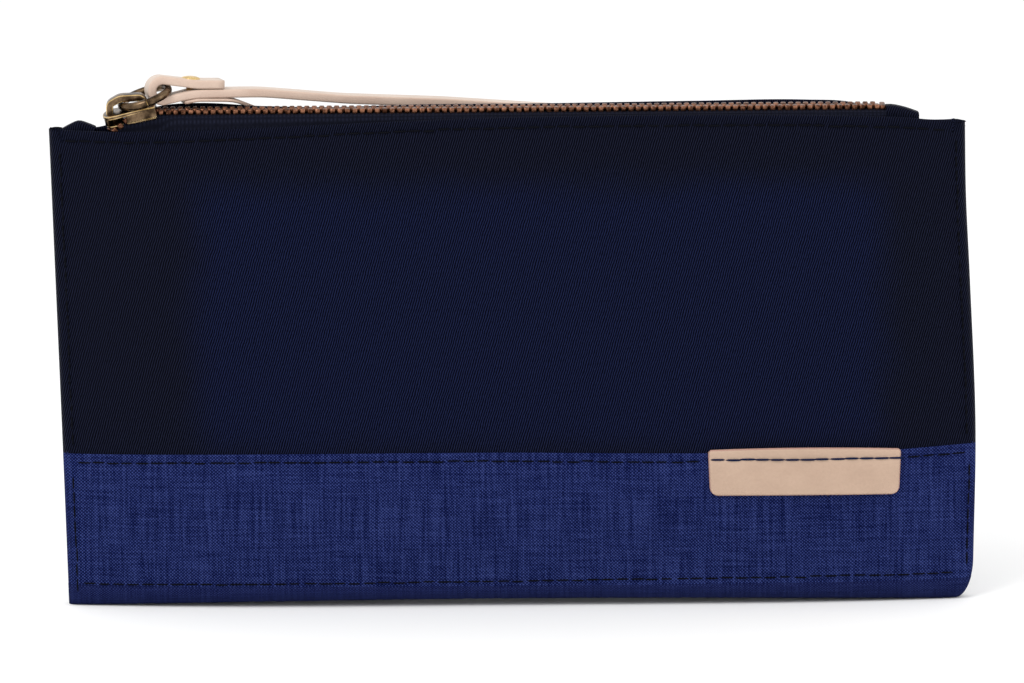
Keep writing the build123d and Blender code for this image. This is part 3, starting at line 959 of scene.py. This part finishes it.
rivet_along, rivet_height, rivet_lean = 5.4, 1.06, 0.05
rivet_base = strap_pivot + strap_along * rivet_along + np.array([0, 0, rivet_height])
rivet_up = np.array([0, 0, 1]) + strap_along * rivet_lean
dome = [(2.3 * math.cos(t), 0.98 + 0.72 * math.sin(t)) for t in np.linspace(0, 1.45, 9)]
on_body("rivet_dome", lathe([(2.2, 0.85)] + dome, rivet_base, rivet_up), rivet_brass, "strap",
        ["rivet_cap"])
shank = [(1.25, -4.3), (1.35, -4.15), (0.9, -4.05), (0.9, 0.9)]
on_body("rivet_shank", lathe(shank, rivet_base, rivet_up), rivet_brass, "strap",
        ["rivet_post"])


# ---- Fabric tabs over the zip's ends ----
def tab_shape(node, top_curve, half_wide, grow_left, grow_right):
    """A folded piece of twill: a soft-edged saddle over the end of the zip."""
    low, high = (np.array(corner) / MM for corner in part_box(node))
    x = np.linspace(low[0] - grow_left, high[0] + grow_right, 15)
    rows, flats = [], []
    for turn in np.linspace(0, math.pi, 21):
        wide = half_wide * np.sign(math.cos(turn)) * abs(math.cos(turn)) ** 0.45
        top = through(top_curve, x)
        z = low[2] - 0.6 + (top - low[2] + 0.6) * math.sin(turn) ** 0.35
        rows.append(np.stack([x, -wide + 0 * x, z], -1))
        flats.append(np.stack([x, turn * half_wide + 0 * x], -1))
    return cloth(np.array(rows), np.array(flats), 0.5, (0, 0, 1))


right_top = [(85, 115.4), (88, 115.6), (91, 115.0), (95, 113.6)]
right_tab = tab_shape("zip_end_tab_right", right_top, half_wide=3.1, grow_left=0.3, grow_right=0.0)
on_body("right_tab_cloth", right_tab, tab_twill, "pouch", ["zip_end_tab_right"])
left_top = [(-104, 111.3), (-101.8, 112.5), (-99.8, 113.3), (-97.2, 112.6), (-92, 110.0)]
left_tab = tab_shape("zip_end_tab_left", left_top, half_wide=2.2, grow_left=1.2, grow_right=3.4)
on_body("left_tab_cloth", left_tab, tab_twill, "pouch", ["zip_end_tab_left"])


# ---- Slider: plates, skirts and crown with softened, polished edges ----
slider_x, slider_tilt = -88.1, math.atan(slider_slope)
slider_place = np.array(Matrix.Translation((slider_x, 0, float(chain_z(slider_x))))
                        @ Matrix.Rotation(-slider_tilt, 4, "Y") @ Matrix.Rotation(chain_tilt, 4, "X"))


def slab(outline, low, high, soft=0.22):
    """A plate with this counter-clockwise outline and rounded edges: points, faces and marks of the edges."""
    outline = np.array(outline, float)
    before, after = np.roll(outline, 1, 0), np.roll(outline, -1, 0)
    along = after - before
    out = np.stack([along[:, 1], -along[:, 0]], -1)
    out = out / np.linalg.norm(out, axis=1, keepdims=True)
    levels = [(low, soft), (low + 0.3 * soft, 0.3 * soft), (low + soft, 0), (high - soft, 0),
              (high - 0.3 * soft, 0.3 * soft), (high, soft)]
    points = np.concatenate([np.column_stack([outline - out * inset, np.full(len(outline), level)])
                             for level, inset in levels])
    count = len(outline)
    polished = [int(ring != 2) for ring in range(len(levels) - 1) for spoke in range(count)] + [0, 0]
    return points, tube_faces(len(levels), count), polished


def band_along(path, wide, thick, soft=0.2):
    """A strip of metal bent along a path in the x-z plane."""
    path = np.array(path)
    along = np.gradient(path, axis=0)
    along = along / np.linalg.norm(along, axis=1, keepdims=True)
    out = np.stack([-along[:, 1], along[:, 0]], -1)
    section, marks = [], []
    for side_a, side_b in ((1, 1), (-1, 1), (-1, -1), (1, -1)):
        corner = (side_a * (wide / 2 - soft), side_b * (thick / 2 - soft))
        start = math.atan2(side_b, side_a) - math.pi / 4
        for part in range(3):
            angle = start + part * math.pi / 4
            section.append((corner[0] + soft * math.cos(angle), corner[1] + soft * math.sin(angle)))
            marks.append(int(part < 2))
    points = []
    for spot, way in zip(path, out):
        for a, b in section:
            points.append((spot[0] + way[0] * b, a, spot[1] + way[1] * b))
    return np.array(points), tube_faces(len(path), len(section)), marks * (len(path) - 1) + [1, 1]


def metal_piece(name, parts, place_at, body, nodes):
    """Joins parts into one piece: dull faces first, polished edges second."""
    verts, faces, polished, start = [], [], [], 0
    for points, part_faces, marks in parts:
        verts.append(points @ place_at[:3, :3].T + place_at[:3, 3])
        faces.extend([[i + start for i in face] for face in part_faces])
        polished.extend(marks)
        start += len(points)
    verts = np.concatenate(verts)
    piece = on_body(name, (verts, faces, verts[:, :2].copy(), None), antique_brass, body, nodes)
    piece.data.materials.append(polished_brass)
    piece.data.polygons.foreach_set("material_index", polished)
    piece.data.set_sharp_from_angle(angle=math.radians(40))
    return piece


def slider_outline(nose, tail, left, right):
    """Straight at its tail, wider towards the nose and round at its left end."""
    top = [(right, -tail), (right, tail), (1.0, tail + 0.1), (-1.0, nose - 0.35), (-2.4, nose), (-3.8, nose)]
    turns = np.linspace(0.2, math.pi - 0.2, 11)
    curve = [(-3.8 + (left + 3.8) * math.sin(t), nose * math.cos(t)) for t in turns]
    return top + curve + [(x, -y) for x, y in top[:1:-1]]


skirt_left, skirt_right, skirt_outer, skirt_inner = -0.4, 6.55, 3.2, 2.5
body_parts = [slab(slider_outline(nose=3.9, tail=3.15, left=-5.8, right=6.6), low=0.75, high=1.6),
              slab(slider_outline(nose=2.6, tail=2.5, left=-5.4, right=6.3), low=-1.6, high=-1.0),
              slab([(-5.2, 0.0), (-3.6, -1.7), (-1.4, 0.0), (-3.6, 1.7)], low=-1.2, high=0.95)]
for near in (-1, 1):
    y0, y1 = sorted((near * skirt_inner, near * skirt_outer))
    skirt = [(skirt_left, y0), (skirt_right, y0), (skirt_right, y1), (skirt_left, y1)]
    body_parts.append(slab(skirt, low=-1.05, high=1.5))
nose_ring = [(-4.9 + 0.75 * math.cos(t), 2.3 * math.sin(t)) for t in np.linspace(0, 2 * math.pi, 17)[:-1]]
body_parts.append(slab(nose_ring, low=-0.9, high=1.1, soft=0.15))
metal_piece("slider_plates", body_parts, slider_place, "slider", ["slider_body"])

crown_corners = [(-4.1, 1.3), (-3.6, 3.8), (-1.0, 4.65), (4.0, 3.8), (4.5, 1.3)]
crown_path = rounded_route(crown_corners, radii=[1.2, 3.0, 1.2], step=0.25)
crown_parts = [band_along(crown_path, wide=2.8, thick=1.6)]
metal_piece("slider_bridge", crown_parts, slider_place, "slider", ["slider_crown"])

# Ring: round wire with a closed split, hanging a little unevenly
ring_pivot = np.array(joints["ring_swing"]["pos_m"]) / MM
ring_along = strap_pivot - ring_pivot
ring_radius, ring_wire = np.linalg.norm(ring_along) / 2, 0.95
ring_along = ring_along / np.linalg.norm(ring_along)
uneven = math.radians(6)
ring_up = np.cross(ring_along, strap_side)
ring_side = strap_side * math.cos(uneven) + ring_up * math.sin(uneven)
ring_up = np.cross(ring_along, ring_side)
turns = np.radians(np.linspace(-96.5, 260.5, 97))
wire_turns = np.arange(16) * math.pi / 8
rings = []
for turn in turns:
    outward = ring_along * math.cos(turn) + ring_side * math.sin(turn)
    centre = (ring_pivot + strap_pivot) / 2 + outward * ring_radius
    rings.append([centre + ring_wire * (outward * math.cos(t) + ring_up * math.sin(t)) for t in wire_turns])
ring_points = np.array(rings).reshape(-1, 3)
ring_faces = [face[::-1] for face in tube_faces(len(turns), len(wire_turns))]
ring_parts = [(ring_points, ring_faces, [0] * len(ring_faces))]
metal_piece("ring_wire", ring_parts, np.eye(4), "ring", ["split_ring"])


# ---- Floor, light and camera ----
def stage_floor():
    bpy.ops.mesh.primitive_plane_add(size=6.0, location=(0, 1.2, 0))
    floor = bpy.context.object
    floor.name = "floor"
    material, tree, bsdf = shader("floor_white", 0.9, specular=0.1)
    bsdf.inputs["Base Color"].default_value = (0.96, 0.96, 0.96, 1)
    floor.data.materials.append(material)


def area_light(name, spot, aim, size, power):
    data = bpy.data.lights.new(name, "AREA")
    data.shape = "SQUARE"
    data.size = size
    data.energy = power
    lamp = bpy.data.objects.new(name, data)
    lamp.location = spot
    lamp.rotation_euler = (Vector(aim) - Vector(spot)).to_track_quat("-Z", "Y").to_euler()
    bpy.context.scene.collection.objects.link(lamp)


stage_floor()
middle = (0.0, 0.0, 0.06)
area_light("key", (-0.55, -0.75, 0.95), middle, size=0.6, power=6.0)
area_light("fill", (0.8, -0.6, 0.5), middle, size=0.8, power=2.0)

world = bpy.data.worlds.new("studio")
bpy.context.scene.world = world
world.use_nodes = True
world.node_tree.nodes["Background"].inputs[0].default_value = (1, 1, 1, 1)
world.node_tree.nodes["Background"].inputs[1].default_value = 1.05
bpy.context.scene.view_settings.view_transform = "Standard"

elevation = math.radians(8.0)
roll = math.radians(0.45)
distance = 1.25
frame_width = 0.2378
aim = Vector((0.0, 0.0, 0.0610))
camera_data = bpy.data.cameras.new("camera")
camera_data.sensor_width = 36.0
camera_data.lens = 36.0 * distance / frame_width
camera = bpy.data.objects.new("camera", camera_data)
bpy.context.scene.collection.objects.link(camera)
look = Vector((0, math.cos(elevation), -math.sin(elevation)))
camera.matrix_world = (Matrix.Translation(aim - look * distance)
                       @ look.to_track_quat("-Z", "Y").to_matrix().to_4x4() @ Matrix.Rotation(-roll, 4, "Z"))
bpy.context.scene.camera = camera
